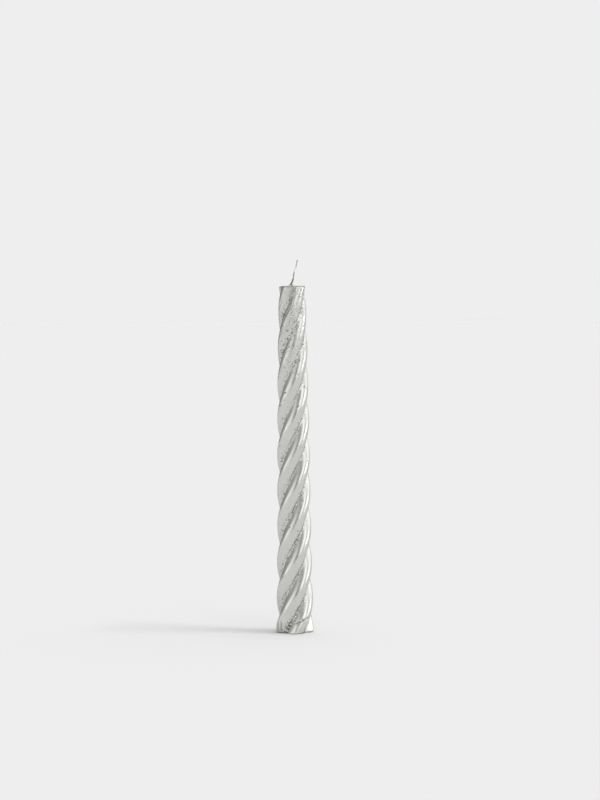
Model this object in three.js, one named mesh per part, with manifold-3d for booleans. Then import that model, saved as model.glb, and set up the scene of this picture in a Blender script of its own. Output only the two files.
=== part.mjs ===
// Silver spiral candle: a braided wick, a twisted four-lobed wax core and the silver overdip coat that wraps it.
// Millimetres, +Z up. The origin is the centre of the flat foot that the candle stands on.
// Azimuth 0 is +X and grows anticlockwise seen from above.

import * as THREE from "three";
import { mergeVertices } from "three/addons/utils/BufferGeometryUtils.js";
import Module from "manifold-3d";

// Body
const BODY_LENGTH = 200;
const CREST_RADII = [11.05, 10.05, 9.6, 8.9, 7.9]; // over the crests, at equal steps from foot to top
const LOBE_RADII = [5.3, 5, 4.6, 4.9, 4.5]; // of the round back of one lobe, at the same steps
const LOBE_COUNT = 4;
const TWIST_PITCH = 82.3; // height of one full right-handed turn
const FOOT_CREST_AZIMUTH = -0.4; // azimuth in degrees of the first crest at the foot
const GROOVE_SOFTNESS = 2.5; // angle in degrees over which a groove's bottom is rounded
const FOOT_EDGE_RADIUS = 0.9;
const TOP_EDGE_RADIUS = 0.4;

// Silver coat
const COAT_THICKNESS = 0.55;
const COAT_TOP_THICKNESS = 0.8;
const COAT_CLEARANCE = 0.3; // between the coat's inside and the wax
const MOUND_HEIGHT = 1.1; // the mound that the dip leaves round the wick
const MOUND_FOOT_RADIUS = 3.2;
const MOUND_CREST_RADIUS = 1.5;
const MOUND_OFFSET = -0.4; // of the mound's centre from the axis, along X

// Wick
const WICK_RADIUS = 0.5;
const WICK_CLEARANCE = 0.3; // round the wick, in the wax and in the coat
const WICK_FOOT_RECESS = 0.4; // height of the wick's lower end above the floor
const WICK_DRIFT_DEPTH = 18; // depth under the top at which the wick leaves the axis
// Where the bare wick stands above the top: along X from the axis, and up from the top.
const WICK_EXIT = new THREE.Vector2(-1.2, 0);
const WICK_LOW_BEND = new THREE.Vector2(0.5, 3.3);
const WICK_HIGH_BEND = new THREE.Vector2(1.6, 9.4);
const WICK_TIP = new THREE.Vector2(3.3, 15.1);

// Facets
const BODY_LEVELS = 56;
const POINTS_PER_LOBE = 10;
const EDGE_LEVELS = 3;
const WICK_SIDES = 10;
const WICK_BEND_STEPS = 20;
const MOUND_SIDES = 24;
const MOUND_STEPS = 4;
const CUT_MARGIN = 1; // how far a cutting tool runs past the face that it cuts

const wasm = await Module();
wasm.setup();

// A smooth curve up the body through both lists of radii: x over the crests, y of a lobe's back.
const radiusCurve = new THREE.CatmullRomCurve3(
  CREST_RADII.map(
    (crest, i) =>
      new THREE.Vector3(crest, LOBE_RADII[i], (BODY_LENGTH * i) / (CREST_RADII.length - 1)),
  ),
);

// How far a rounded edge of this radius draws the wall in, at a given height from the edge's own face.
function edgeInset(fromFace, radius) {
  if (fromFace >= radius) return 0;
  const rise = radius - Math.max(fromFace, 0);
  return radius - Math.sqrt(radius * radius - rise * rise);
}

// Distance from the axis to the wall of the round lobes, less what an inset square to the wall takes.
// offCrest is the angle from the nearest crest; near a groove it is held back a little, which rounds the groove.
function wallRadius(z, offCrest, inset) {
  const radii = radiusCurve.getPoint(THREE.MathUtils.clamp(z / BODY_LENGTH, 0, 1));
  const lobe = radii.y;
  const centre = radii.x - lobe;
  const halfLobe = Math.PI / LOBE_COUNT;
  const softness = THREE.MathUtils.degToRad(GROOVE_SOFTNESS);
  const angle = halfLobe - Math.hypot(halfLobe - Math.abs(offCrest), softness);
  const reach = Math.sqrt(lobe ** 2 - (centre * Math.sin(angle)) ** 2);
  return centre * Math.cos(angle) + reach - (inset * lobe) / reach;
}

// One outline of the twisted body at height z, as points at equal angles from groove to groove.
function outline(z, inset) {
  const lobeAngle = (2 * Math.PI) / LOBE_COUNT;
  const turn = THREE.MathUtils.degToRad(FOOT_CREST_AZIMUTH) + (2 * Math.PI * z) / TWIST_PITCH;
  const points = [];
  for (let i = 0; i < LOBE_COUNT * POINTS_PER_LOBE; i++) {
    const offCrest = ((i % POINTS_PER_LOBE) / POINTS_PER_LOBE - 0.5) * lobeAngle;
    const azimuth = turn + (i / POINTS_PER_LOBE - 0.5) * lobeAngle;
    const radius = wallRadius(z, offCrest, inset);
    points.push(new THREE.Vector3(radius * Math.cos(azimuth), radius * Math.sin(azimuth), z));
  }
  return points;
}

// Rings of equally many points, bottom first, become one closed solid with a flat fan at each end.
// Each square is cut along its short diagonal, the one that leans against a right-handed twist.
function closedStack(rings) {
  const sides = rings[0].length;
  const vertices = rings.flat();
  const faces = [];
  for (let level = 0; level + 1 < rings.length; level++) {
    for (let i = 0; i < sides; i++) {
      const next = (i + 1) % sides;
      const a = level * sides + i;
      const b = level * sides + next;
      const c = b + sides;
      const d = a + sides;
      faces.push(a, b, d, b, c, d);
    }
  }
  const ends = [rings[0], rings[rings.length - 1]];
  ends.forEach((ring, end) => {
    const middle = ring.reduce((sum, p) => sum.add(p), new THREE.Vector3()).divideScalar(sides);
    const first = end === 0 ? 0 : (rings.length - 1) * sides;
    vertices.push(middle);
    for (let i = 0; i < sides; i++) {
      const here = first + i;
      const next = first + ((i + 1) % sides);
      faces.push(vertices.length - 1, end === 0 ? next : here, end === 0 ? here : next);
    }
  });
  const geometry = new THREE.BufferGeometry().setFromPoints(vertices);
  geometry.setIndex(faces);
  return geometry;
}

// Heights for the body's rings: close together in the two rounded edges, even between them.
function bodyHeights(top) {
  const heights = [];
  for (let i = 0; i < EDGE_LEVELS; i++) {
    heights.push(FOOT_EDGE_RADIUS * (1 - Math.cos((Math.PI / 2) * (i / EDGE_LEVELS))));
  }
  for (let i = 0; i <= BODY_LEVELS; i++) {
    heights.push(THREE.MathUtils.lerp(FOOT_EDGE_RADIUS, top - TOP_EDGE_RADIUS, i / BODY_LEVELS));
  }
  for (let i = EDGE_LEVELS - 1; i >= 0; i--) {
    heights.push(top - TOP_EDGE_RADIUS * (1 - Math.cos((Math.PI / 2) * (i / EDGE_LEVELS))));
  }
  return heights;
}

// The twisted body up to height top, its wall drawn in by inset and its two edges rounded.
function twistedBody(top, inset, footRun = 0) {
  const rings = bodyHeights(top).map((z) => {
    const edges = edgeInset(z, FOOT_EDGE_RADIUS) + edgeInset(top - z, TOP_EDGE_RADIUS);
    return outline(z, inset + edges);
  });
  if (footRun > 0) {
    rings.unshift(rings[0].map((p) => new THREE.Vector3(p.x, p.y, p.z - footRun)));
  }
  return closedStack(rings);
}

// The line that the wick follows: straight up the axis, then over to its exit, its bends and its tip.
function wickLine(footZ) {
  const stub = [WICK_EXIT, WICK_LOW_BEND, WICK_HIGH_BEND, WICK_TIP];
  const curve = new THREE.CatmullRomCurve3([
    new THREE.Vector3(0, 0, BODY_LENGTH - WICK_DRIFT_DEPTH),
    ...stub.map((point) => new THREE.Vector3(point.x, 0, BODY_LENGTH + point.y)),
  ]);
  return [new THREE.Vector3(0, 0, footZ), ...curve.getPoints(WICK_BEND_STEPS)];
}

// A round bar along a line of points, each ring square to the line.
function roundBar(line, radius) {
  const rings = line.map((point, i) => {
    const before = line[Math.max(i - 1, 0)];
    const after = line[Math.min(i + 1, line.length - 1)];
    const along = new THREE.Vector3().subVectors(after, before).normalize();
    const side = new THREE.Vector3(0, 1, 0).cross(along).normalize();
    const front = new THREE.Vector3().crossVectors(along, side);
    const ring = [];
    for (let k = 0; k < WICK_SIDES; k++) {
      const angle = (2 * Math.PI * k) / WICK_SIDES;
      ring.push(
        point
          .clone()
          .addScaledVector(side, radius * Math.cos(angle))
          .addScaledVector(front, radius * Math.sin(angle)),
      );
    }
    return ring;
  });
  return closedStack(rings);
}

function asSolid(geometry) {
  const bare = new THREE.BufferGeometry();
  bare.setAttribute("position", geometry.getAttribute("position"));
  bare.setIndex(geometry.getIndex());
  const merged = mergeVertices(bare);
  return new wasm.Manifold(
    new wasm.Mesh({
      numProp: 3,
      vertProperties: new Float32Array(merged.attributes.position.array),
      triVerts: new Uint32Array(merged.index.array),
    }),
  );
}

function asGeometry(solid) {
  const mesh = solid.getMesh();
  const geometry = new THREE.BufferGeometry();
  geometry.setAttribute("position", new THREE.BufferAttribute(mesh.vertProperties, 3));
  geometry.setIndex(new THREE.BufferAttribute(mesh.triVerts, 1));
  geometry.computeVertexNormals();
  return geometry;
}

// The channel that the wick runs in, through everything that holds it.
function wickChannel() {
  return asSolid(roundBar(wickLine(-CUT_MARGIN), WICK_RADIUS + WICK_CLEARANCE));
}

function waxCore() {
  const top = BODY_LENGTH - COAT_TOP_THICKNESS - COAT_CLEARANCE;
  const body = asSolid(twistedBody(top, COAT_THICKNESS + COAT_CLEARANCE));
  return asGeometry(body.subtract(wickChannel()));
}

// The mound of silver round the wick, hollow flanked, its root half way into the coat's top.
function wickMound() {
  const profile = [
    new THREE.Vector2(0, -COAT_TOP_THICKNESS / 2),
    new THREE.Vector2(MOUND_FOOT_RADIUS, -COAT_TOP_THICKNESS / 2),
  ];
  for (let i = 0; i <= MOUND_STEPS; i++) {
    const share = i / MOUND_STEPS;
    const radius = THREE.MathUtils.lerp(MOUND_FOOT_RADIUS, MOUND_CREST_RADIUS, share);
    profile.push(new THREE.Vector2(radius, MOUND_HEIGHT * share * share));
  }
  profile.push(new THREE.Vector2(0, MOUND_HEIGHT));
  const mound = new THREE.LatheGeometry(profile, MOUND_SIDES);
  mound.rotateX(Math.PI / 2);
  mound.translate(MOUND_OFFSET, 0, BODY_LENGTH);
  return mound;
}

function silverCoat() {
  const outside = asSolid(twistedBody(BODY_LENGTH, 0));
  const inside = asSolid(twistedBody(BODY_LENGTH - COAT_TOP_THICKNESS, COAT_THICKNESS, CUT_MARGIN));
  const shell = outside.subtract(inside);
  return asGeometry(shell.add(asSolid(wickMound())).subtract(wickChannel()));
}

function wick() {
  return roundBar(wickLine(WICK_FOOT_RECESS), WICK_RADIUS);
}

function piece(name, geometry, colour, roughness, metalness) {
  const material = new THREE.MeshStandardMaterial({ color: colour, roughness, metalness });
  const mesh = new THREE.Mesh(geometry, material);
  mesh.name = name;
  return mesh;
}

const candle = new THREE.Group();
candle.add(
  piece("wick", wick(), "#d9d8d2", 0.8, 0.1),
  piece("wax_core", waxCore(), "#f1ede2", 0.55, 0),
  piece("silver_coat", silverCoat(), "#c9cac5", 0.35, 0.9),
);

export default candle;
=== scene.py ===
# %% [markdown]
# # A silver spiral candle
#
# The candle is a twisted bar of wax with four round lobes, dipped at last in silver. Three pieces make it:
# a braided wick, the wax that holds it, and the silver skin. All three come from the fixed frame as plain
# solids. Here the silver skin and the wick are made again as fine surfaces, and all three get their
# finish. Lengths are written in millimetres, as a maker would, and become metres when a mesh is made.
# Where a length is in metres from the start, a comment says so.

# %% Load the frame
import math

import bpy
import numpy as np
from mathutils import Matrix, Vector


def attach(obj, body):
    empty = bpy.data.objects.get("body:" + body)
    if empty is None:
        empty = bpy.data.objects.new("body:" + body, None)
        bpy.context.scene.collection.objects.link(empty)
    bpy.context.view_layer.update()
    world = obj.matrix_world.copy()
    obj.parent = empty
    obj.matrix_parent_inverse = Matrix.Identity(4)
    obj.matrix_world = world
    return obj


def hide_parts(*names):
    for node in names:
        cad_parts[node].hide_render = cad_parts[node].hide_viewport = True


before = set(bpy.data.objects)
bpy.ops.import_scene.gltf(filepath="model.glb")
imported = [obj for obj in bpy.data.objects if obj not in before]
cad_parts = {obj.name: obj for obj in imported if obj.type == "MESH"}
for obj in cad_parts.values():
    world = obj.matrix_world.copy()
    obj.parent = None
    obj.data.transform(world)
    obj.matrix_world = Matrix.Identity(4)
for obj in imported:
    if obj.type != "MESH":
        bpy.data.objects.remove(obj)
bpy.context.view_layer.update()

MM = 0.001

# %% [markdown]
# ## The camera
#
# A product photograph of a tall thin thing is taken from far away with a long lens, so that its sides stay
# parallel. The top face is seen on edge and the foot a little from above, which fixes the camera's height:
# just over the candle's top. The candle leans half a degree in the picture. A dipped candle is straight,
# so the lean is given to the camera as a roll.

# %% Put the camera where the photographer stood
CAMERA_DISTANCE = 1620
CAMERA_HEIGHT = 228
CAMERA_SIDE = 4.0
CAMERA_PITCH = math.radians(3.31)
CAMERA_ROLL = math.radians(-0.51)
PICTURE_HALF_ANGLE = math.radians(8.08)  # over half of the picture's height
SENSOR_SIZE = 36
NEAREST_SEEN, FARTHEST_SEEN = 50, 100000

camera_data = bpy.data.cameras.new("camera")
camera_data.sensor_width = SENSOR_SIZE
camera_data.lens = SENSOR_SIZE / 2 / math.tan(PICTURE_HALF_ANGLE)
camera_data.clip_start = NEAREST_SEEN * MM
camera_data.clip_end = FARTHEST_SEEN * MM
camera = bpy.data.objects.new("camera", camera_data)
bpy.context.scene.collection.objects.link(camera)
camera.matrix_world = (
    Matrix.Translation(Vector((CAMERA_SIDE, -CAMERA_DISTANCE, CAMERA_HEIGHT)) * MM)
    @ Matrix.Rotation(math.pi / 2 - CAMERA_PITCH, 4, "X")
    @ Matrix.Rotation(CAMERA_ROLL, 4, "Z")
)
bpy.context.scene.camera = camera
print("lens in mm:", round(camera_data.lens, 1))

# %% [markdown]
# ## Unevenness
#
# Nothing dipped by hand is even. A random field that changes smoothly from place to place stands for the
# way wax and lacquer run. It is a block of random numbers, read between its cells with a smooth step, and
# it can be stretched along one direction by giving that direction longer cells. Where a mark begins and
# ends is told by three small curves: a step, a band between two steps, and a round hump.

# %% Steps, bands and humps
FIELD_SIZE = 32


def rise(value, low, high):
    """0 below low, 1 above high, and the smooth step 3t^2 - 2t^3 between them."""
    t = np.clip((value - low) / (high - low), 0, 1)
    return t * t * (3 - 2 * t)


def band(value, start, full, fade, end):
    """0 outside start..end, 1 from full to fade, and a smooth step at either side."""
    return rise(value, start, full) * (1 - rise(value, fade, end))


def hump(distance, width):
    """1 at distance 0, falling off to both sides as exp(-(distance / width)^2)."""
    return np.exp(-((distance / width) ** 2))


# %% Make a smooth random field
def uneven(x, y, z, seed):
    """Value between -1 and 1 at each point: the eight nearest random numbers of a repeating block,
    mixed by the smooth step 3t^2 - 2t^3 of the distance to each."""
    table = np.random.default_rng(seed).uniform(-1, 1, (FIELD_SIZE,) * 3)
    whole = [np.floor(v).astype(int) for v in (x, y, z)]
    part = [v - w for v, w in zip((x, y, z), whole)]
    part = [t * t * (3 - 2 * t) for t in part]
    total = 0
    for i in (0, 1):
        for j in (0, 1):
            for k in (0, 1):
                corner = [(w + o) % FIELD_SIZE for w, o in zip(whole, (i, j, k))]
                weight = 1
                for t, o in zip(part, (i, j, k)):
                    weight = weight * (t if o else 1 - t)
                total = total + weight * table[corner[0], corner[1], corner[2]]
    return total


def on_wall(across, z, patch):
    """Unevenness spread out on the wall. A patch is its width across the lobes, its length, and a seed."""
    width, length, seed = patch
    return uneven(across / width, z / length, 0 * z, seed)


def in_space(x, y, z, patch):
    """Unevenness in space, cut by the wall. A patch is its width, its height, and a seed."""
    width, height, seed = patch
    return uneven(x / width, y / width, z / height, seed)


spots = np.linspace(0, FIELD_SIZE, 1000)
print("unevenness of one line:", round(float(uneven(spots, 0 * spots, 0 * spots, 11).std()), 2))

# %% [markdown]
# ## The shape of the twisted bar
#
# Seen from above, the bar is four round lobes with sharp grooves between them, and going up it turns
# steadily to the left, so that on the front every lobe climbs to the right. It also tapers, and the
# grooves are shallower near the top. The easiest way to make it is to draw one outline, and to turn and
# shrink it with the height. The columns of the mesh turn with the lobes, so that its edges run along the
# grooves. The twisting has dragged the grooves a little, so the flank over each groove is longer than the
# one under it.

# %% Sizes of the bar
BODY_LENGTH = 200.0
CREST_RADII = (11.05, 10.05, 9.6, 8.9, 7.9)  # at five equal steps from foot to top
LOBE_RADII = (5.3, 5.0, 4.6, 4.9, 4.5)
LOBES = 4
TWIST_PITCH = 82.3  # height of one whole turn
FOOT_CREST = math.radians(-0.4)  # where the first crest stands at the foot
FOOT_EDGE = 0.9  # radius of the rounded edge, as the next one
TOP_EDGE = 0.4
COAT_INSET = 0.7  # from the wall to the skin's lining
COAT_TOP = 0.8  # from the top face down to the lining's end
THINNEST_COAT = 0.1
SKIN_SLACK = 0.13  # room for the waves between the skin and the solid's wall
GROOVE_SOFTNESS = math.radians(2.5)
GROOVE_LEAN = math.radians(3)
GROOVE_AT = math.pi / LOBES + GROOVE_LEAN
FRONT = -math.pi / 2


# %% Curves that the bar follows
def smooth_through(points, t):
    """Smooth curve through points that stand at t = 0, 1, 2 and so on: cubic pieces, each with the slope
    at a point that its two neighbours give."""
    points = np.asarray(points, float)
    before = 2 * points[:1] - points[1:2]
    after = 2 * points[-1:] - points[-2:-1]
    padded = np.concatenate((before, points, after))
    i = np.minimum(t.astype(int), len(points) - 2)
    t = (t - i).reshape(t.shape + (1,) * (points.ndim - 1))
    p0, p1, p2, p3 = (padded[i + k] for k in range(4))
    bend = 2 * p0 - 5 * p1 + 4 * p2 - p3
    return p1 + 0.5 * t * (p2 - p0 + t * (bend + t * (3 * (p1 - p2) + p3 - p0)))


def along_stations(values, z):
    """Smooth curve through values that stand at equal steps up the bar."""
    return smooth_through(values, np.clip(z / BODY_LENGTH, 0, 1) * (len(values) - 1))


def turn_at(z):
    """Angle through which the outline has turned at height z."""
    return FOOT_CREST + 2 * math.pi * z / TWIST_PITCH


crest_radius = along_stations(CREST_RADII, np.array(BODY_LENGTH / 2))
print("crest radius half way up:", round(float(crest_radius), 2))


# %% The wall of four lobes
def off_crest(phase):
    """Angle from the nearest crest: positive on the flank that faces right and down on the front."""
    lobe_angle = 2 * math.pi / LOBES
    return (phase + lobe_angle / 2) % lobe_angle - lobe_angle / 2


def past_groove(phase):
    """Angle in degrees past the bottom of the nearest groove: negative on the flank above it."""
    return np.degrees(off_crest(phase - GROOVE_AT))


def wall_radius(phase, z, lean=GROOVE_LEAN):
    """Distance from the axis to the wall of four round lobes. A lobe of radius r stands c from the axis,
    and a line at angle a from its crest meets it at c cos a + sqrt(r^2 - c^2 sin^2 a). The lean drags
    each groove towards the lobe below it, and leaves the crests where they are."""
    phase = phase - lean * (1 - np.cos(LOBES * phase)) / 2
    groove_angle = math.pi / LOBES
    to_groove = groove_angle - np.abs(off_crest(phase))
    a = groove_angle - np.sqrt(to_groove**2 + GROOVE_SOFTNESS**2)
    lobe = along_stations(LOBE_RADII, z)
    centre = along_stations(CREST_RADII, z) - lobe
    return centre * np.cos(a) + np.sqrt(lobe**2 - (centre * np.sin(a)) ** 2)


def edge_inset(from_face, radius):
    """How far a rounded edge draws the wall in at a height from its face: r - sqrt(r^2 - (r-h)^2)."""
    drop = np.clip(radius - from_face, 0, radius)
    return radius - np.sqrt(radius**2 - drop**2)


groove_radius = wall_radius(GROOVE_AT, np.array(BODY_LENGTH / 2))
print("groove radius half way up:", round(float(groove_radius), 2))

# %% [markdown]
# ## What the silver does
#
# The silver is a lacquer over a last dip of wax. It shows what a dip leaves: a slow waviness, a crackle of
# little dents over each groove, long faint folds down the middle of each lobe, and a crumpled stretch
# under the top, as if something had held the candle there. All of it is a rise or fall of the wall, so it
# is added to the wall's radius. It could be painted as a bump in the material, but a real rise also bends
# the outline of the candle.

# %% Where the crackle and the small bubbles lie
CRACKLE_BAND = (-20, -6, 3, 8)  # degrees past the groove
CRACKLE_STRETCHES = (15, 10, 13)  # width, length and seed, as for every patch
STRETCH_NOISE = (-0.3, 0.3)
CRACKLE_LEAST = 0.45
BUBBLE_PATCHES = (4, 6, 19)
BUBBLE_PATCH_NOISE = (-0.1, 0.5)
TOP_BUBBLES_LEAST = 0.3
TOP_BUBBLES_SHARE = 0.7
BUBBLES_UNDER_TOP = (140, 165)
BUBBLES_AT_FOOT = (8, 13)
FOOT_BUBBLES_PAST = -4
FOOT_BUBBLES_WIDTH = 12


def crackled(phase, z, radius):
    """Share from 0 to 1 of crackle: a band over each groove, stronger in some stretches."""
    stretch = rise(on_wall(radius * phase, z, CRACKLE_STRETCHES), *STRETCH_NOISE)
    stretch = CRACKLE_LEAST + (1 - CRACKLE_LEAST) * stretch
    return band(past_groove(phase), *CRACKLE_BAND) * stretch


# the bubbles are small hollows, and the shade in them is painted dark, crowded in the band over each groove
def bubble_shade_share(phase, z, radius):
    """Share from 0 to 1 of small bubbles in the skin: with the crackle, under the top and at the foot."""
    patches = rise(on_wall(radius * phase, z, BUBBLE_PATCHES), *BUBBLE_PATCH_NOISE)
    patches = TOP_BUBBLES_LEAST + (1 - TOP_BUBBLES_LEAST) * patches
    under_top = TOP_BUBBLES_SHARE * rise(z, *BUBBLES_UNDER_TOP) * patches
    at_foot = hump(past_groove(phase) - FOOT_BUBBLES_PAST, FOOT_BUBBLES_WIDTH)
    at_foot = (1 - rise(z, *BUBBLES_AT_FOOT)) * at_foot
    return np.clip(crackled(phase, z, radius) + under_top + at_foot, 0, 1)


ring = np.linspace(0, 2 * math.pi, 360)
half_way = BODY_LENGTH / 2 + 0 * ring
on_ring = crackled(ring, half_way, CREST_RADII[2]).mean()
print("share of crackle on a ring half way up:", round(float(on_ring), 2))

# %% Waves, crackle, folds and creases
WAVE_HEIGHT, WAVES = 0.06, (7, 11, 11)
RIPPLE_HEIGHT, RIPPLES = 0.027, (2.6, 3.1, 12)
CRACKLE_HEIGHT, CRACKLES = 0.085, (0.85, 0.85, 14)
FOLD_HEIGHT, FOLDS = 0.045, (1.1, 14, 15)
FOLD_BAND = (-26, -8, 26, 34)  # degrees from the crest
CRUMPLE_HEIGHT, CRUMPLES = 0.12, (2.0, 13, 61)
DENT_HEIGHT, DENTS = 0.036, (1.5, 2.2, 17)
CREASE_HEIGHT, CREASES = 0.1, (1.0, 6, 18)
CRUMPLED = (168, 184)  # heights where the crumples begin and are full


def skin_relief(phase, z, radius):
    """Rise of the skin in mm: random fields stretched along or across the lobes, each where it belongs."""
    azimuth = phase + turn_at(z)
    x, y = radius * np.cos(azimuth), radius * np.sin(azimuth)
    across = radius * phase
    wave = WAVE_HEIGHT * in_space(x, y, z, WAVES) + RIPPLE_HEIGHT * in_space(x, y, z, RIPPLES)
    crackle = CRACKLE_HEIGHT * crackled(phase, z, radius) * on_wall(across, z, CRACKLES)
    on_crest = band(np.degrees(off_crest(phase)), *FOLD_BAND)
    fold = FOLD_HEIGHT * np.abs(on_wall(across, z, FOLDS)) * on_crest
    crumple = CRUMPLE_HEIGHT * on_wall(across, z, CRUMPLES) + DENT_HEIGHT * in_space(x, y, z, DENTS)
    crease = CREASE_HEIGHT * on_wall(across, z, CREASES)
    return wave + crackle - fold + rise(z, *CRUMPLED) * (crumple + crease)


# %% [markdown]
# ## Pits
#
# A bubble that bursts in the last dip leaves a small round pit, whose bottom is painted dark as shade.
# The pits are scattered at random, more of them towards the top, as on the photographed candle. A few by
# the front groove's foot are listed one by one.

# %% Pits where bubbles broke
PIT_COUNT = 150
PIT_SEED = 23
PIT_DEPTH = 0.24
PIT_SIZES = (0.26, 0.42)
LOWEST_PIT, HIGHEST_PIT = 3, BODY_LENGTH - 2
PIT_CROWDING = 0.45  # below 1 it moves the pits towards the top
PIT_SLANT = 0.4  # undoes part of the twist's shear, so that the pits are nearly round
FOOT_PITS = (
    # right of the front in degrees, height, size
    (-26, 4.4, 0.55),
    (-31, 2.2, 0.5),
    (-35, 3.6, 0.4),
    (-21, 6.2, 0.35),
    (-23, 2.6, 0.4),
)


def pits(phase, z, radius):
    """Depth share from 0 to 1 of all pits: the greatest of exp(-(distance / size)^2), where the height
    in the distance is slanted by PIT_SLANT."""
    rng = np.random.default_rng(PIT_SEED)
    heights = LOWEST_PIT + (HIGHEST_PIT - LOWEST_PIT) * rng.uniform(0, 1, PIT_COUNT) ** PIT_CROWDING
    phases = rng.uniform(0, 2 * math.pi, PIT_COUNT)
    sizes = rng.uniform(*PIT_SIZES, PIT_COUNT)
    for right, height, size in FOOT_PITS:
        phases = np.append(phases, FRONT + math.radians(right) - turn_at(height))
        heights, sizes = np.append(heights, height), np.append(sizes, size)
    depth = np.zeros(np.broadcast(phase, z).shape)
    for at_phase, at_z, size in zip(phases, heights, sizes):
        gap = (phase - at_phase + math.pi) % (2 * math.pi) - math.pi
        reach = np.hypot(gap * radius, (z - at_z) + gap * radius * PIT_SLANT)
        depth = np.maximum(depth, hump(reach, size))
    return depth


print("pits:", PIT_COUNT + len(FOOT_PITS))

# %% [markdown]
# ## The foot
#
# The candle was cut and pressed flat at its foot. Over the end of the front lobe the skin's outer layer
# has broken off along a ragged edge that climbs to the right, with a crack along it. At the left the skin
# was pressed out and wrinkled, and at the right its lower edge is broken away. Each mark is a small
# formula of the angle from the front and the height.

# %% The broken edge and its cracks
CHIP_DEPTH = 0.16
CHIP_BAND = (7, 12, 40, 46)  # degrees right of the front
CHIP_STEP = 0.15
CRACK_DEPTH = 0.34
CRACK_BAND = (0, 5, 44, 52)
CRACK_WIDTH = 0.3
EDGE_HEIGHT = 5.9  # at the front
EDGE_CLIMB = 0.075  # per degree to the right
EDGE_TOOTH = 0.9
TEETH_PER_RADIAN = 13
TEETH_EVERY = 1.2  # mm of height
EDGE_SEED = 31


def right_of_front(azimuth):
    """Angle in degrees to the right of the front."""
    return np.degrees((azimuth - FRONT + math.pi) % (2 * math.pi) - math.pi)


def over_edge(azimuth, z):
    """Height over the broken edge, which climbs to the right and has random teeth."""
    teeth = EDGE_TOOTH * uneven(azimuth * TEETH_PER_RADIAN, z / TEETH_EVERY, 0 * z, EDGE_SEED)
    return z - (EDGE_HEIGHT + EDGE_CLIMB * right_of_front(azimuth) + teeth)


def chips(azimuth, z):
    """Share from 0 to 1 of the skin's top layer that is missing below the broken edge."""
    below = 1 - rise(over_edge(azimuth, z), -CHIP_STEP, CHIP_STEP)
    return below * band(right_of_front(azimuth), *CHIP_BAND)


print("rise of the broken edge in mm:", round(EDGE_CLIMB * (CHIP_BAND[3] - CHIP_BAND[0]), 1))

# %% Wrinkles, bulge and broken lower edge
WRINKLES = ((-58, 1.3), (-68, 0.4))  # degrees right of the front at the floor, and degrees per mm up
WRINKLE_WIDTH = 2.2
WRINKLE_BAND = (0.8, 2, 5.5, 8)  # heights
WRINKLE_SHARE = 0.8
BULGE_HEIGHT = 0.24
BULGE_AT, BULGE_WIDTH = -78, 16
BULGE_BAND = (0, 2.5, 6, 10)
LIFT_HEIGHT = 0.5
LIFT_BAND = (26, 34, 84, 100)
LIFT_TOP = 4.5


def cracks(azimuth, z):
    """Share from 0 to 1 of cracks: along the broken edge, and the wrinkles at the left of the foot."""
    right = right_of_front(azimuth)
    edge = hump(over_edge(azimuth, z), CRACK_WIDTH) * band(right, *CRACK_BAND)
    wrinkles = sum(hump(right - at - slant * z, WRINKLE_WIDTH) for at, slant in WRINKLES)
    return np.maximum(edge, WRINKLE_SHARE * wrinkles * band(z, *WRINKLE_BAND))


def foot_bulge(azimuth, z):
    """Rise of the skin in mm where it was pressed out at the left of the foot."""
    return BULGE_HEIGHT * hump(right_of_front(azimuth) - BULGE_AT, BULGE_WIDTH) * band(z, *BULGE_BAND)


def foot_lift(azimuth, z):
    """Height in mm by which the skin's lower edge is broken away at the right of the foot."""
    return LIFT_HEIGHT * band(right_of_front(azimuth), *LIFT_BAND) * (1 - rise(z, 0, LIFT_TOP))


print("wrinkles:", len(WRINKLES), "bulge in mm:", BULGE_HEIGHT)

# %% [markdown]
# ## Under the top
#
# One long fold runs across the front, with a streak of painted shade at its left, and the left corner of
# the top hangs slack. The fold is a round ridge along a slanting line, and the painted shade follows the
# same line a little further left. Both are set where the photograph shows them.

# %% The long fold, the painted shade streak and the slack corner
LONG_FOLD_HEIGHT = 0.42
LONG_FOLD_WIDTH = 8  # in degrees, as the next four
LONG_FOLD_RIGHT = 19
LONG_FOLD_SLANT = 1.75  # per mm down from its upper end
# the streak of painted shade lies this far left of the fold, and is this wide
SHADE_STREAK_OFFSET = 15
SHADE_STREAK_WIDTH = 13
LONG_FOLD_TOP = 199
LONG_FOLD_FOOT = (176, 184)
SHADE_STREAK_FOOT = (168, 180)
CORNER_DROP = 0.5
CORNER_FROM = (5.2, 8)  # left of the axis
CORNER_FOOT = 192


def past_fold(azimuth, z):
    """Angle in degrees to the right of the long fold, whose line leans to the left going down."""
    return right_of_front(azimuth) - (LONG_FOLD_RIGHT - LONG_FOLD_SLANT * (LONG_FOLD_TOP - z))


def long_fold(azimuth, z):
    """Rise in mm of the long fold: a round ridge along its line."""
    return LONG_FOLD_HEIGHT * hump(past_fold(azimuth, z), LONG_FOLD_WIDTH) * rise(z, *LONG_FOLD_FOOT)


def shade_streak(azimuth, z):
    """Share from 0 to 1 of the streak of painted shade to the left of the fold."""
    return hump(past_fold(azimuth, z) + SHADE_STREAK_OFFSET, SHADE_STREAK_WIDTH) * rise(z, *SHADE_STREAK_FOOT)


def corner_drop(azimuth, z, radius):
    """Height in mm by which the top's left corner hangs."""
    slack = rise(-radius * np.cos(azimuth), *CORNER_FROM)
    return CORNER_DROP * slack * rise(z, CORNER_FOOT, BODY_LENGTH)


print("length of the long fold in mm:", LONG_FOLD_TOP - LONG_FOLD_FOOT[0])

# %% [markdown]
# ## Making a mesh from a grid
#
# The skin is a closed sheet without a beginning: its profile runs up the outside, over the top, down the
# wick's hole, back under the top and down the inside to the foot, and the profile goes all the way round
# the axis. So both directions of the grid close on themselves, and no pole is needed. Each strand of the
# wick is a tube that is closed by a fan at each end.


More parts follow.
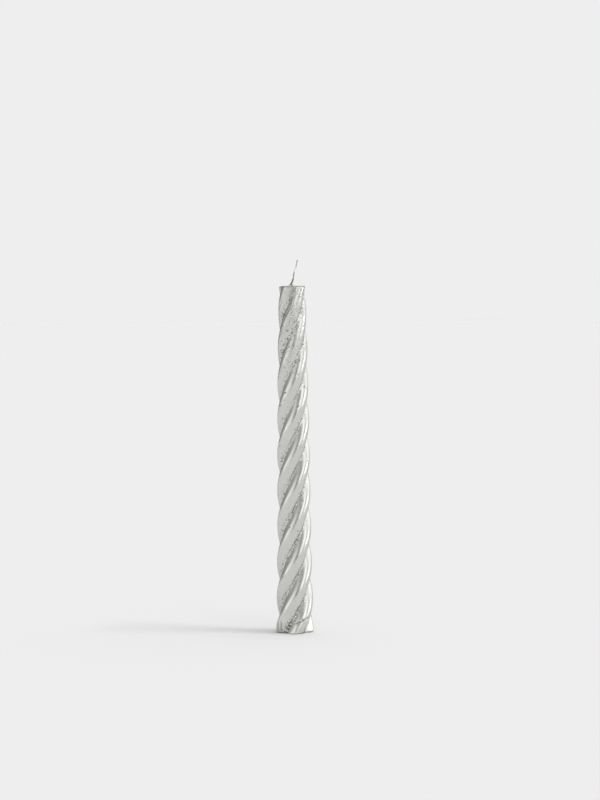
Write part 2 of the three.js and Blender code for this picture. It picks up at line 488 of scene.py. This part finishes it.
# %% Build meshes from grids
def add_piece(name, points, faces):
    """A smooth mesh object from points in mm and faces as lists of point numbers, its place in its mesh."""
    mesh = bpy.data.meshes.new(name)
    mesh.from_pydata((points * MM).tolist(), [], faces)
    mesh.update()
    mesh.polygons.foreach_set("use_smooth", np.full(len(mesh.polygons), True))
    piece = bpy.data.objects.new(name, mesh)
    bpy.context.scene.collection.objects.link(piece)
    return piece


def ring_faces(rows, columns, close_rows):
    """Four-sided faces between the rows of a grid whose columns close round, and whose rows may."""
    r = np.arange(rows if close_rows else rows - 1)[:, None]
    c = np.arange(columns)[None, :]
    up, right = (r + 1) % rows, (c + 1) % columns
    a, b = r * columns + c, r * columns + right
    d, e = up * columns + c, up * columns + right
    return np.stack((a, b, e, d), -1).reshape(-1, 4)


def paint(piece, name, values):
    """A number for each point, which a material can read by its name."""
    piece.data.attributes.new(name, "FLOAT", "POINT").data.foreach_set(
        "value", np.asarray(values, np.float32).ravel()
    )


print("faces of a closed grid of 4 by 6 points:", len(ring_faces(4, 6, True)))

# %% [markdown]
# ## The silver skin
#
# The skin is worked out row by row, from the foot up the outside and back down the inside. The wall gets
# most of the rows, because the crackle and pits are there, and the columns crowd together just over the
# grooves, where the crackle is. On the top the outline shrinks towards the wick, and the mound that the
# dip leaves round the wick is a hump that falls off with the distance from it. The inside is a smooth
# lining that follows the wax.

# %% Work out the rows of the skin
SKIN_COLUMNS = 144
COLUMN_CROWDING = 0.55
CROWDED_AT = math.radians(LOBES * 42)  # 42 degrees past a crest, on a wave that has the lobes' number
WALL_ROWS = 570
TOP_ROWS = 26
INNER_ROWS = 60
EDGE_ROWS = 6

even = np.linspace(0, 2 * math.pi, SKIN_COLUMNS, endpoint=False)
phase = (even - COLUMN_CROWDING * np.sin(LOBES * even - CROWDED_AT) / LOBES)[None, :]
phase = phase - phase[0, 0]
quarter = np.linspace(0, math.pi / 2, EDGE_ROWS, endpoint=False)
wall_z = np.concatenate(
    (
        FOOT_EDGE * (1 - np.cos(quarter)),
        np.linspace(FOOT_EDGE, BODY_LENGTH - TOP_EDGE, WALL_ROWS),
        BODY_LENGTH - TOP_EDGE * (1 - np.sin(quarter[1:])),
    )
)[:, None]
print("rows on the wall:", len(wall_z), "columns:", SKIN_COLUMNS)

# %% The rise and fall of the wall
CALM_FOOT = 12  # below it the skin rises less and less, so that it stays inside the solid

wall = wall_radius(phase, wall_z)
azimuth = phase + turn_at(wall_z)
pit_share = pits(phase, wall_z, wall)
chip_share = chips(azimuth, wall_z)
crack_share = cracks(azimuth, wall_z)
bubble_shade = bubble_shade_share(phase, wall_z, wall)
relief = skin_relief(phase, wall_z, wall) - PIT_DEPTH * pit_share
relief = relief - CHIP_DEPTH * chip_share - CRACK_DEPTH * crack_share
relief = relief - (1 - rise(wall_z, 0, CALM_FOOT)) * np.clip(relief, 0, None)
relief = relief + foot_bulge(azimuth, wall_z) + long_fold(azimuth, wall_z)
print("skin relief in mm:", round(float(relief.min()), 2), "to", round(float(relief.max()), 2))

# %% The outside wall
edges = edge_inset(wall_z, FOOT_EDGE) + edge_inset(BODY_LENGTH - wall_z, TOP_EDGE)
outside = wall - SKIN_SLACK - edges + relief
lining = wall_radius(phase, wall_z, lean=0) - COAT_INSET - edge_inset(wall_z, FOOT_EDGE)
lining[wall_z[:, 0] > BODY_LENGTH - COAT_TOP] = 0
print("thinnest skin in mm before the clamp:", round(float((outside - lining).min()), 2))
outside = np.maximum(outside, lining + THINNEST_COAT)
lift = foot_lift(azimuth, wall_z) - corner_drop(azimuth, wall_z, outside)
outer = np.stack((outside * np.cos(azimuth), outside * np.sin(azimuth), wall_z + lift), -1)

# %% The top and the mound round the wick
WICK_EXIT = (-1.2, 0.0)
WICK_HOLE = 0.62
MOUND_CENTRE = (-0.4, 0.0)
MOUND_HEIGHT = 1.0
MOUND_WIDTH = 1.9
LUMP_SIZE, LUMP_SEED = 1.1, 41
MOUND_LUMPS = 0.45
TOP_LUMPS = 0.07
DISH_DEPTH = 0.22
LUMPS_FULL = 0.2  # share of the way from the rim to the hole, as the next two
DISH_BAND = (0, 0.25, 0.5, 1)
DROP_GONE = 0.5

share = np.linspace(0, 1, TOP_ROWS + 1)[1:, None]
rim = outer[-1][None]
hole_angle = azimuth[-1][None, :]
hole = np.stack(
    (WICK_EXIT[0] + WICK_HOLE * np.cos(hole_angle), WICK_EXIT[1] + WICK_HOLE * np.sin(hole_angle)), -1
)
top_xy = rim[..., :2] * (1 - share[..., None]) + hole * share[..., None]
from_mound = np.hypot(top_xy[..., 0] - MOUND_CENTRE[0], top_xy[..., 1] - MOUND_CENTRE[1])
lumps = uneven(top_xy[..., 0] / LUMP_SIZE, top_xy[..., 1] / LUMP_SIZE, 0 * from_mound, LUMP_SEED)
mound = MOUND_HEIGHT * hump(from_mound, MOUND_WIDTH) * (1 + MOUND_LUMPS * lumps)
dish = TOP_LUMPS * lumps * rise(share, 0, LUMPS_FULL) - DISH_DEPTH * band(share, *DISH_BAND)
rim_drop = lift[-1] * (1 - rise(share, 0, DROP_GONE))
top = np.concatenate((top_xy, (BODY_LENGTH + mound + dish + rim_drop)[..., None]), -1)
under_rim = np.stack(
    (hole[0, :, 0], hole[0, :, 1], np.full(SKIN_COLUMNS, BODY_LENGTH - COAT_TOP)), -1
)[None]
print("highest point of the mound in mm:", round(float(top[..., 2].max()), 2))

# %% The lining and the whole skin
inner_z = np.concatenate(
    (
        np.linspace(BODY_LENGTH - COAT_TOP, FOOT_EDGE, INNER_ROWS, endpoint=False),
        FOOT_EDGE * (1 - np.cos(np.append(quarter, math.pi / 2)))[::-1],
    )
)[:, None]
inner_radius = wall_radius(phase, inner_z, lean=0) - COAT_INSET - edge_inset(inner_z, FOOT_EDGE)
inner_azimuth = phase + turn_at(inner_z)
inner = np.stack(
    (inner_radius * np.cos(inner_azimuth), inner_radius * np.sin(inner_azimuth), inner_z + 0 * phase),
    -1,
)
skin_points = np.concatenate((outer, top, under_rim, inner)).reshape(-1, 3)
skin_rows = len(skin_points) // SKIN_COLUMNS
skin = add_piece("silver_skin", skin_points, ring_faces(skin_rows, SKIN_COLUMNS, True).tolist())
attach(skin, "root")
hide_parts("silver_coat")
print("silver skin:", skin_rows, "rows,", 2 * len(skin.data.polygons), "triangles")

# %% [markdown]
# The skin's finish changes from place to place, and much of it is painted light and shade: painted shade in
# the pits, cracks and bubbles and along the top's rim, a streak of painted shade left of the long fold, and
# painted light that makes the foot lighter. A material can't know the lobes, so these shares are painted on
# the points, where the shape's own functions give them.

# %% Paint the shares that the finish reads
# painted shade along the top's rim
RIM_HEIGHT = 0.6
RIM_DARKNESS = 0.8
RIM_SHARE = 0.12
# painted light: the silver is painted lighter at the foot, fading out between these heights
FOOT_LIGHT_HEIGHTS = (4.5, 13.5)
SPECK_SIZE, SPECK_SEED = 0.55, 43
SPECK_NOISE = (-0.1, 0.25)
SPECK_DARKNESS = 0.5
SPECKS_WIDTH = 3.2
TOP_BUBBLES_WIDTH = 3

# painted shade: the top's rim, the pits and the cracks are painted darker where shade falls in them
dark_rim = RIM_DARKNESS * rise(wall_z, BODY_LENGTH - RIM_HEIGHT, BODY_LENGTH - RIM_HEIGHT / 2)
dark = np.maximum(np.maximum(pit_share, crack_share), dark_rim)
specks = uneven(top_xy[..., 0] / SPECK_SIZE, top_xy[..., 1] / SPECK_SIZE, 0 * from_mound, SPECK_SEED)
specks = SPECK_DARKNESS * rise(specks, *SPECK_NOISE) * hump(from_mound, SPECKS_WIDTH)
top_dark = np.maximum(RIM_DARKNESS * (1 - rise(share, 0, RIM_SHARE)), specks)
plain_top = 0 * top_dark
unseen = np.zeros((skin_rows - len(wall_z) - len(share), SKIN_COLUMNS))
shares = {
    # painted shade in the pits, cracks and rim, with the specks on the top
    "painted_shade_and_specks": (dark, top_dark),
    "chip": (chip_share, plain_top),
    # painted shade in the bubbles' hollows
    "bubble_shade": (bubble_shade, hump(from_mound, TOP_BUBBLES_WIDTH)),
    # painted shade: the streak left of the long fold
    "shade_streak": (shade_streak(azimuth, wall_z), plain_top),
    # painted light: the lighter foot
    "painted_foot_light": (1 - rise(wall_z, *FOOT_LIGHT_HEIGHTS) + 0 * phase, plain_top),
}
for name, (on_side, on_top) in shares.items():
    paint(skin, name, np.concatenate((on_side, on_top, unseen)))
print("painted on the skin:", ", ".join(shares))

# %% [markdown]
# ## The wick
#
# A candle's wick is a flat braid of cotton. Three bundles cross over each other like plaited hair, and the
# wax that it soaked up makes it stiff enough to stand. Each bundle is a round tube along a curve that
# swings from side to side once while it goes over and under twice, and the next bundle follows a third of
# a turn later. The wick runs up the wax's channel, leaves it left of the axis and leans to the right,
# thinner towards its tip.

# %% The line that the wick follows
WICK_FOOT = 0.4
WICK_DRIFT = 18
STRAIGHT_HEIGHTS = (WICK_FOOT, 60, 120, 160, BODY_LENGTH - WICK_DRIFT)
WICK_BENDS = (
    # right of the axis, and up from the top
    (-0.65, -9.0),
    (-1.15, -3.5),
    (-1.35, 0),
    (-0.35, 1.5),
    (0.3, 2.7),
    (0.86, 5.0),
    (1.4, 8.6),
    (2.3, 10.8),
    (3.16, 14.8),
)
LINE_STEPS = 4000

straight = [(0, z) for z in STRAIGHT_HEIGHTS]
bends = [(x, BODY_LENGTH + z) for x, z in WICK_BENDS]
wick_points = straight + bends
wick_line = smooth_through(wick_points, np.linspace(0, len(wick_points) - 1, LINE_STEPS))
wick_arc = np.concatenate(([0], np.cumsum(np.hypot(*np.diff(wick_line, axis=0).T))))
print("wick length in mm:", round(float(wick_arc[-1]), 1))

# %% Its steps, its width and its stains
BRAID_PITCH = 2.5
STEPS_PER_PITCH = 12
WICK_WIDTHS = (
    # height over the top, and share of the full width
    (0, 1.0),
    (3.2, 1.1),
    (4.6, 0.85),
    (8, 0.75),
    (14.8, 0.6),
)
WICK_STAINS = (
    # height over the top, and share from 0 to 1 of soot and silver specks
    (0, 0.6),
    (1.2, 0.8),
    (4.2, 0.9),
    (4.8, 0.3),
    (5.5, 0.8),
    (7.6, 0.75),
    (8.3, 0),
    (10.2, 0),
    (10.9, 0.55),
    (13, 0.4),
    (13.7, 1),
    (14.8, 1),
)

strand_steps = int(wick_arc[-1] / BRAID_PITCH * STEPS_PER_PITCH)
arc = np.linspace(0, wick_arc[-1], strand_steps)
middle = np.stack([np.interp(arc, wick_arc, wick_line[:, k]) for k in (0, 1)], -1)
heading = np.gradient(middle, axis=0)
heading /= np.linalg.norm(heading, axis=1)[:, None]
side = np.stack((heading[:, 1], 0 * arc, -heading[:, 0]), -1)
forward = np.stack((0 * arc, np.ones_like(arc), 0 * arc), -1)
middle = np.stack((middle[:, 0], 0 * arc, middle[:, 1]), -1)
over_top = middle[:, 2] - BODY_LENGTH
width = np.interp(over_top, *np.transpose(WICK_WIDTHS))
stain = np.interp(over_top, *np.transpose(WICK_STAINS))
print("steps along the wick:", strand_steps)

# %% One strand of the braid
STRANDS = 3
STRAND_RADIUS = 0.215
STRAND_SIDES = 8
BRAID_SWING = 0.24
BRAID_DEPTH = 0.15


def strand_points(number):
    """Points of one strand: rings of STRAND_SIDES points round a centre that swings sin(s) to the side
    and sin(2s) forward, and then the two points in the middle of its ends."""
    swing = 2 * math.pi * (arc / BRAID_PITCH + number / STRANDS)
    centre = middle + (width * BRAID_SWING * np.sin(swing))[:, None] * side
    centre = centre + (width * BRAID_DEPTH * np.sin(2 * swing))[:, None] * forward
    ring = np.linspace(0, 2 * math.pi, STRAND_SIDES, endpoint=False)
    out = np.cos(ring)[None, :, None] * side[:, None] + np.sin(ring)[None, :, None] * forward[:, None]
    tube = centre[:, None] + (width * STRAND_RADIUS)[:, None, None] * out
    return np.vstack((tube.reshape(-1, 3), centre[:1], centre[-1:]))


def strand_faces():
    """Faces of one strand: its rings, and a fan of triangles at each end."""
    last = strand_steps * STRAND_SIDES
    tip_row = last - STRAND_SIDES
    c = np.arange(STRAND_SIDES)
    next_c = (c + 1) % STRAND_SIDES
    foot_fan = np.stack((np.full(STRAND_SIDES, last), next_c, c), -1)
    tip_fan = np.stack((np.full(STRAND_SIDES, last + 1), tip_row + c, tip_row + next_c), -1)
    return ring_faces(strand_steps, STRAND_SIDES, False), foot_fan, tip_fan


# %% Braid the strands
strand_size = strand_steps * STRAND_SIDES + 2
wick_faces = []
for number in range(STRANDS):
    for block in strand_faces():
        wick_faces.extend((block + number * strand_size).tolist())
wick = add_piece("braided_wick", np.vstack([strand_points(n) for n in range(STRANDS)]), wick_faces)
strand_stain = np.concatenate((np.repeat(stain, STRAND_SIDES), stain[:1], stain[-1:]))
paint(wick, "stain", np.tile(strand_stain, STRANDS))
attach(wick, "root")
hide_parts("wick")
print("wick:", len(wick_faces), "faces")

# %% [markdown]
# ## Finishes
#
# A finish is a small tree of nodes that ends in one shader. The helpers below each add one step to it:
# noise on the object's own coordinates, a number moved to another range, a mix of two colours, a painted
# share, and a bump.


# %% A new finish and its grain
def new_finish(name):
    """A material with its nodes, and the shader and output already joined."""
    material = bpy.data.materials.new(name)
    material.use_nodes = True
    nodes = material.node_tree.nodes
    nodes.clear()
    shader = nodes.new("ShaderNodeBsdfPrincipled")
    output = nodes.new("ShaderNodeOutputMaterial")
    material.node_tree.links.new(shader.outputs["BSDF"], output.inputs["Surface"])
    return material, nodes, material.node_tree.links, shader


def grain(nodes, links, scale, detail, stretch=(1, 1, 1)):
    """Noise on the object's own coordinates, in cells per metre."""
    place = nodes.new("ShaderNodeTexCoord")
    mapping = nodes.new("ShaderNodeMapping")
    mapping.inputs["Scale"].default_value = stretch
    noise = nodes.new("ShaderNodeTexNoise")
    noise.inputs["Scale"].default_value = scale
    noise.inputs["Detail"].default_value = detail
    links.new(place.outputs["Object"], mapping.inputs["Vector"])
    links.new(mapping.outputs["Vector"], noise.inputs["Vector"])
    return noise.outputs["Fac"]


# %% Numbers and colours in a finish
def spread(nodes, links, value, low, high, start=0.0, end=1.0):
    """Value from start..end moved to low..high."""
    node = nodes.new("ShaderNodeMapRange")
    node.inputs["From Min"].default_value = start
    node.inputs["From Max"].default_value = end
    node.inputs["To Min"].default_value = low
    node.inputs["To Max"].default_value = high
    links.new(value, node.inputs["Value"])
    return node.outputs["Result"]


def blend_colours(nodes, links, share, first, second):
    """A mix of two colours, or of a colour and another node's colour."""
    node = nodes.new("ShaderNodeMix")
    node.data_type = "RGBA"
    links.new(share, node.inputs["Factor"])
    for socket, colour in (("A", first), ("B", second)):
        target = [s for s in node.inputs if s.name == socket and s.type == "RGBA"][0]
        if isinstance(colour, tuple):
            target.default_value = (*colour, 1)
        else:
            links.new(colour, target)
    return [s for s in node.outputs if s.type == "RGBA"][0]


def darker(colour, by):
    """The colour times a number."""
    return tuple(by * v for v in colour)


# %% Painted shares and bumps in a finish
def painted(nodes, name):
    """The numbers that were painted on the piece under this name."""
    node = nodes.new("ShaderNodeAttribute")
    node.attribute_name = name
    return node.outputs["Fac"]


def bump(nodes, links, height, distance, strength, after=None):
    """A bump from a height, on top of another bump if one is given. The distance is in mm."""
    node = nodes.new("ShaderNodeBump")
    node.inputs["Distance"].default_value = distance * MM
    node.inputs["Strength"].default_value = strength
    links.new(height, node.inputs["Height"])
    if after:
        links.new(after, node.inputs["Normal"])
    return node.outputs["Normal"]


# %% [markdown]
# The silver is aluminium flake in a clear lacquer. It mirrors the room softly, a little yellower than
# steel. It has faint patches. Light and shade are painted into its colour as well: it is painted lighter at
# the foot as painted light, a streak left of the long fold is painted darker as shade, and painted shade
# darkens its small bubbles, pits and cracks and the top's rim. The room that it mirrors does most of the
# work, so the rest stays simple: a metal whose gloss has a fine grain, and a very fine bump. The edge tint
# keeps the grazing rims of the lobes from burning out.

# %% The colour of the silver
SILVER = (0.657, 0.662, 0.634)
# painted shade: the darker silver of the streak left of the long fold
SHADE_STREAK_SILVER = (0.48, 0.48, 0.455)
# painted light: the lighter silver at the foot
FOOT_LIT_SILVER = (0.735, 0.74, 0.705)
CHIPPED_SILVER = (0.64, 0.645, 0.61)
# painted shade in the small bubbles' hollows
BUBBLE_SHADE_GREY = (0.16, 0.16, 0.15)
# painted shade in the pits, cracks and rim, and the colour of the specks on the top
SHADE_AND_SPECK_GREY = (0.12, 0.12, 0.11)
PATCH_SCALE, PATCH_DETAIL = 260, 4  # cells per metre, as every scale here
PATCH_NOISE = (0.35, 0.7)
PATCH_SHARE = 0.5
PATCH_DARKER = 0.93
BUBBLE_SCALE, BUBBLE_DETAIL = 1500, 1
BUBBLE_NOISE = (0.57, 0.64)

silver, nodes, links, shader = new_finish("silver_lacquer")
patches = grain(nodes, links, PATCH_SCALE, PATCH_DETAIL)
patches = spread(nodes, links, patches, 0, PATCH_SHARE, *PATCH_NOISE)
colour = blend_colours(nodes, links, patches, SILVER, darker(SILVER, PATCH_DARKER))
# painted light: the foot is made lighter
colour = blend_colours(nodes, links, painted(nodes, "painted_foot_light"), colour, FOOT_LIT_SILVER)
# painted shade: the streak left of the long fold is made darker
colour = blend_colours(nodes, links, painted(nodes, "shade_streak"), colour, SHADE_STREAK_SILVER)
bubbles = grain(nodes, links, BUBBLE_SCALE, BUBBLE_DETAIL)
bubbles = spread(nodes, links, bubbles, 0, 1, *BUBBLE_NOISE)
bubble_share = nodes.new("ShaderNodeMath")
bubble_share.operation = "MULTIPLY"
links.new(bubbles, bubble_share.inputs[0])
links.new(painted(nodes, "bubble_shade"), bubble_share.inputs[1])
# painted shade: the bubbles' hollows are made dark
colour = blend_colours(nodes, links, bubble_share.outputs["Value"], colour, BUBBLE_SHADE_GREY)
colour = blend_colours(nodes, links, painted(nodes, "chip"), colour, CHIPPED_SILVER)
# painted shade in the pits, the cracks and along the rim, and the specks on the top
colour = blend_colours(nodes, links, painted(nodes, "painted_shade_and_specks"), colour, SHADE_AND_SPECK_GREY)
links.new(colour, shader.inputs["Base Color"])
print("nodes for the silver's colour:", len(nodes))

# %% The gloss and the bump of the silver
GLOSS_SCALE, GLOSS_DETAIL = 900, 3
GLOSS_NOISE = (0.3, 0.7)
GLOSS = (0.19, 0.29)  # roughness
FINE_SCALE, FINE_DETAIL, FINE_BUMP = 5200, 2, 0.04
COARSE_SCALE, COARSE_DETAIL, COARSE_BUMP = 1300, 3, 0.09
GRAIN_STRENGTH = 0.12
BUBBLE_BUMP, BUBBLE_STRENGTH = 0.25, 0.8
EDGE_TINT = (0.72, 0.72, 0.72, 1)

gloss = grain(nodes, links, GLOSS_SCALE, GLOSS_DETAIL)
gloss = spread(nodes, links, gloss, *GLOSS, *GLOSS_NOISE)
links.new(gloss, shader.inputs["Roughness"])
fine = grain(nodes, links, FINE_SCALE, FINE_DETAIL)
fine = bump(nodes, links, fine, FINE_BUMP, GRAIN_STRENGTH)
coarse = grain(nodes, links, COARSE_SCALE, COARSE_DETAIL)
coarse = bump(nodes, links, coarse, COARSE_BUMP, GRAIN_STRENGTH, fine)
hollow = spread(nodes, links, bubble_share.outputs["Value"], 1, 0)
hollow = bump(nodes, links, hollow, BUBBLE_BUMP, BUBBLE_STRENGTH, coarse)
links.new(hollow, shader.inputs["Normal"])
shader.inputs["Metallic"].default_value = 1.0
shader.inputs["Specular Tint"].default_value = EDGE_TINT
skin.data.materials.append(silver)
print("nodes in the silver:", len(nodes))

# %% [markdown]
# The wick is cotton soaked in wax: off-white and half matt, with fine threads along it. Soot darkens its
# tip, and specks of silver and soot its lower part. The threads are a noise that is stretched upwards.

# %% Cotton soaked in wax
COTTON = (0.86, 0.85, 0.81)
SOOT = (0.07, 0.07, 0.065)
THREAD_SCALE, THREAD_DETAIL = 9000, 3
THREAD_STRETCH = (1, 1, 0.25)
THREAD_DARKER = 0.75
THREAD_GLOSS = (0.45, 0.75)
THREAD_BUMP, THREAD_STRENGTH = 0.08, 0.6

cotton, nodes, links, shader = new_finish("waxed_cotton")
threads = grain(nodes, links, THREAD_SCALE, THREAD_DETAIL, THREAD_STRETCH)
colour = blend_colours(nodes, links, threads, COTTON, darker(COTTON, THREAD_DARKER))
colour = blend_colours(nodes, links, painted(nodes, "stain"), colour, SOOT)
links.new(colour, shader.inputs["Base Color"])
links.new(spread(nodes, links, threads, *THREAD_GLOSS), shader.inputs["Roughness"])
links.new(bump(nodes, links, threads, THREAD_BUMP, THREAD_STRENGTH), shader.inputs["Normal"])
wick.data.materials.append(cotton)
print("nodes in the cotton:", len(nodes))

# %% [markdown]
# The wax shows only at the foot, seen from below. It is cream-coloured, a little cloudy, scratched from
# standing, and light goes a little way into it, which subsurface scattering stands for.

# %% Candle wax
WAX = (0.83, 0.80, 0.71)
CLOUD_SCALE, CLOUD_DETAIL = 220, 4
CLOUD_DARKER = 0.9
WAX_GLOSS = (0.35, 0.55)
SCRATCH_SCALE, SCRATCH_DETAIL = 700, 4
SCRATCH_STRETCH = (1, 0.15, 1)
SCRATCH_BUMP, SCRATCH_STRENGTH = 0.2, 0.5
LIGHT_SHARE = 0.15
LIGHT_REACH = (0.004, 0.003, 0.002)  # red, green and blue in metres, times the shader's own scale

wax, nodes, links, shader = new_finish("candle_wax")
cloud = grain(nodes, links, CLOUD_SCALE, CLOUD_DETAIL)
colour = blend_colours(nodes, links, cloud, WAX, darker(WAX, CLOUD_DARKER))
links.new(colour, shader.inputs["Base Color"])
links.new(spread(nodes, links, cloud, *WAX_GLOSS), shader.inputs["Roughness"])
scratches = grain(nodes, links, SCRATCH_SCALE, SCRATCH_DETAIL, SCRATCH_STRETCH)
links.new(bump(nodes, links, scratches, SCRATCH_BUMP, SCRATCH_STRENGTH), shader.inputs["Normal"])
shader.inputs["Subsurface Weight"].default_value = LIGHT_SHARE
shader.inputs["Subsurface Radius"].default_value = LIGHT_REACH
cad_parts["wax_core"].data.materials.clear()
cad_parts["wax_core"].data.materials.append(wax)
print("nodes in the wax:", len(nodes))

# %% [markdown]
# ## Floor, room and light
#
# A silver thing shows its room. This one stands on a pale table that fills its lower half. The room has an
# even tone, with soft lights in it and dim places where something takes light away. Each is a patch of the
# room round one direction: full inside its inner radius and gone outside its outer radius, with a strength
# below zero for a dim place. The dim place round the camera is the dark streak down every lobe.

# %% Soft lights of the room
ROOM_TONE = 0.416
SOFT_LIGHTS = (
    # right of the camera and up, inner and outer radius in degrees, strength
    (84, -15, 2, 35, 2.56),  # the large light, low on the right
    (34, 17, 12, 22, 1.07),  # a smaller one between it and the camera
    (-72, -15, 5, 33, 1.0),  # low on the left
    (-42, 2, 6, 40, 0.68),  # wide, between that one and the camera
    (137, 60, 1, 78, 1.62),  # the ceiling, behind on the right
    (-112, 65, 1, 41, 0.45),  # the ceiling on the left
    (18, 54, 6, 21, 1.2),  # high over the camera
    (-8, -3, 6, 16, -0.32),  # the camera and who holds it
    (-160, 0, 10, 40, -0.16),  # a dim corner, behind on the left
    (172, 72, 5, 46, -0.85),  # a dim part of the ceiling, high behind
)
SHADOW_LIGHT = 1.0
SHADOW_SPREAD = math.radians(6)
SHADOW_UP = math.radians(61)
SHADOW_FORWARD = (6, 15, 24)  # degrees from the right towards the camera, one for each lamp


def towards(right, up):
    """Unit vector to a place in the room, seen from the candle: right of the camera, and up."""
    psi, eps = math.radians(right), math.radians(up)
    return (math.sin(psi) * math.cos(eps), -math.cos(psi) * math.cos(eps), math.sin(eps))


def patch_limits(inner, outer):
    """Cosines of the two radii: where the patch begins, and where it is full."""
    return math.cos(math.radians(outer)), math.cos(math.radians(inner))


print("patches in the room:", len(SOFT_LIGHTS))

# %% [markdown]
# The table must have just the tone of the backdrop, or a horizon shows. The light that falls on it is the
# sum of the room over the upper half of all directions, each weighted by its height, and the light that
# throws the shadow. A matt surface of reflectance a then looks as bright as a times that sum over pi.

# %% Add up the light on the table
FLOOR_TONE = 0.855
SKY_STEPS = 400

height = (np.arange(SKY_STEPS) + 0.5)[:, None] / SKY_STEPS
turn = 2 * math.pi * (np.arange(SKY_STEPS) + 0.5)[None, :] / SKY_STEPS
level = np.sqrt(1 - height**2)
sky = np.stack((level * np.cos(turn), level * np.sin(turn), height + 0 * turn), -1)
radiance = np.full(sky.shape[:2], ROOM_TONE)
for right, up, inner_edge, outer_edge, strength in SOFT_LIGHTS:
    begin, full = patch_limits(inner_edge, outer_edge)
    radiance += strength * rise(sky @ np.array(towards(right, up)), begin, full)
light_on_table = 2 * math.pi * float((radiance * height).mean()) + SHADOW_LIGHT * math.sin(SHADOW_UP)
table_grey = FLOOR_TONE * math.pi / light_on_table
print("light on the table:", round(light_on_table, 3), "its reflectance:", round(table_grey, 3))
print("darkest place of the upper room:", round(float(radiance.min()), 3))

# %% The table
TABLE_HALF = 6.0  # in metres

corners = [(x * TABLE_HALF, y * TABLE_HALF, 0) for x, y in ((-1, -1), (1, -1), (1, 1), (-1, 1))]
table_mesh = bpy.data.meshes.new("table")
table_mesh.from_pydata(corners, [], [(0, 1, 2, 3)])
table = bpy.data.objects.new("table", table_mesh)
bpy.context.scene.collection.objects.link(table)
paper, nodes, links, shader = new_finish("pale_table")
shader.inputs["Base Color"].default_value = (table_grey, table_grey, table_grey, 1)
shader.inputs["Roughness"].default_value = 1.0
shader.inputs["Specular IOR Level"].default_value = 0.0
table_mesh.materials.append(paper)
print("the table is", 2 * TABLE_HALF, "metres square")

# %% The room that the silver mirrors
world = bpy.data.worlds.new("room")
bpy.context.scene.world = world
world.use_nodes = True
nodes, links = world.node_tree.nodes, world.node_tree.links
nodes.clear()
where = nodes.new("ShaderNodeTexCoord").outputs["Generated"]
total = None
for right, up, inner_edge, outer_edge, strength in SOFT_LIGHTS:
    facing = nodes.new("ShaderNodeVectorMath")
    facing.operation = "DOT_PRODUCT"
    facing.inputs[1].default_value = towards(right, up)
    links.new(where, facing.inputs[0])
    begin, full = patch_limits(inner_edge, outer_edge)
    patch = nodes.new("ShaderNodeMapRange")
    patch.interpolation_type = "SMOOTHSTEP"
    patch.inputs["From Min"].default_value = begin
    patch.inputs["From Max"].default_value = full
    patch.inputs["To Min"].default_value = 0
    patch.inputs["To Max"].default_value = strength
    links.new(facing.outputs["Value"], patch.inputs["Value"])
    add = nodes.new("ShaderNodeMath")
    add.operation = "ADD"
    links.new(patch.outputs["Result"], add.inputs[0])
    if total:
        links.new(total, add.inputs[1])
    else:
        add.inputs[1].default_value = ROOM_TONE
    total = add.outputs["Value"]
print("nodes in the room:", len(nodes))

# %% [markdown]
# The camera itself sees the plain backdrop instead of the room's lights.

# %% The backdrop
room = nodes.new("ShaderNodeBackground")
room.inputs["Color"].default_value = (1, 1, 1, 1)
links.new(total, room.inputs["Strength"])
backdrop = nodes.new("ShaderNodeBackground")
backdrop.inputs["Color"].default_value = (FLOOR_TONE, FLOOR_TONE, FLOOR_TONE, 1)
light_path = nodes.new("ShaderNodeLightPath")
mix = nodes.new("ShaderNodeMixShader")
world_output = nodes.new("ShaderNodeOutputWorld")
links.new(light_path.outputs["Is Camera Ray"], mix.inputs["Fac"])
links.new(room.outputs["Background"], mix.inputs[1])
links.new(backdrop.outputs["Background"], mix.inputs[2])
links.new(mix.outputs["Shader"], world_output.inputs["Surface"])
print("nodes in the room and its backdrop:", len(nodes))

# %% [markdown]
# A faint level shadow lies to the left of the candle. Three lamps stand side by side on the right, high up
# and a little towards the camera. Each casts a narrow shadow, and together they make a soft band.

# %% The soft light that throws the shadow
for forward_angle in SHADOW_FORWARD:
    lamp_data = bpy.data.lights.new("shadow_light", "SUN")
    lamp_data.energy = SHADOW_LIGHT / len(SHADOW_FORWARD)
    lamp_data.angle = SHADOW_SPREAD
    lamp = bpy.data.objects.new("shadow_light", lamp_data)
    bpy.context.scene.collection.objects.link(lamp)
    lamp.rotation_euler = (0, math.pi / 2 - SHADOW_UP, -math.radians(forward_angle))

bpy.context.scene.view_settings.view_transform = "Standard"
print("lamps for the shadow:", len(SHADOW_FORWARD))
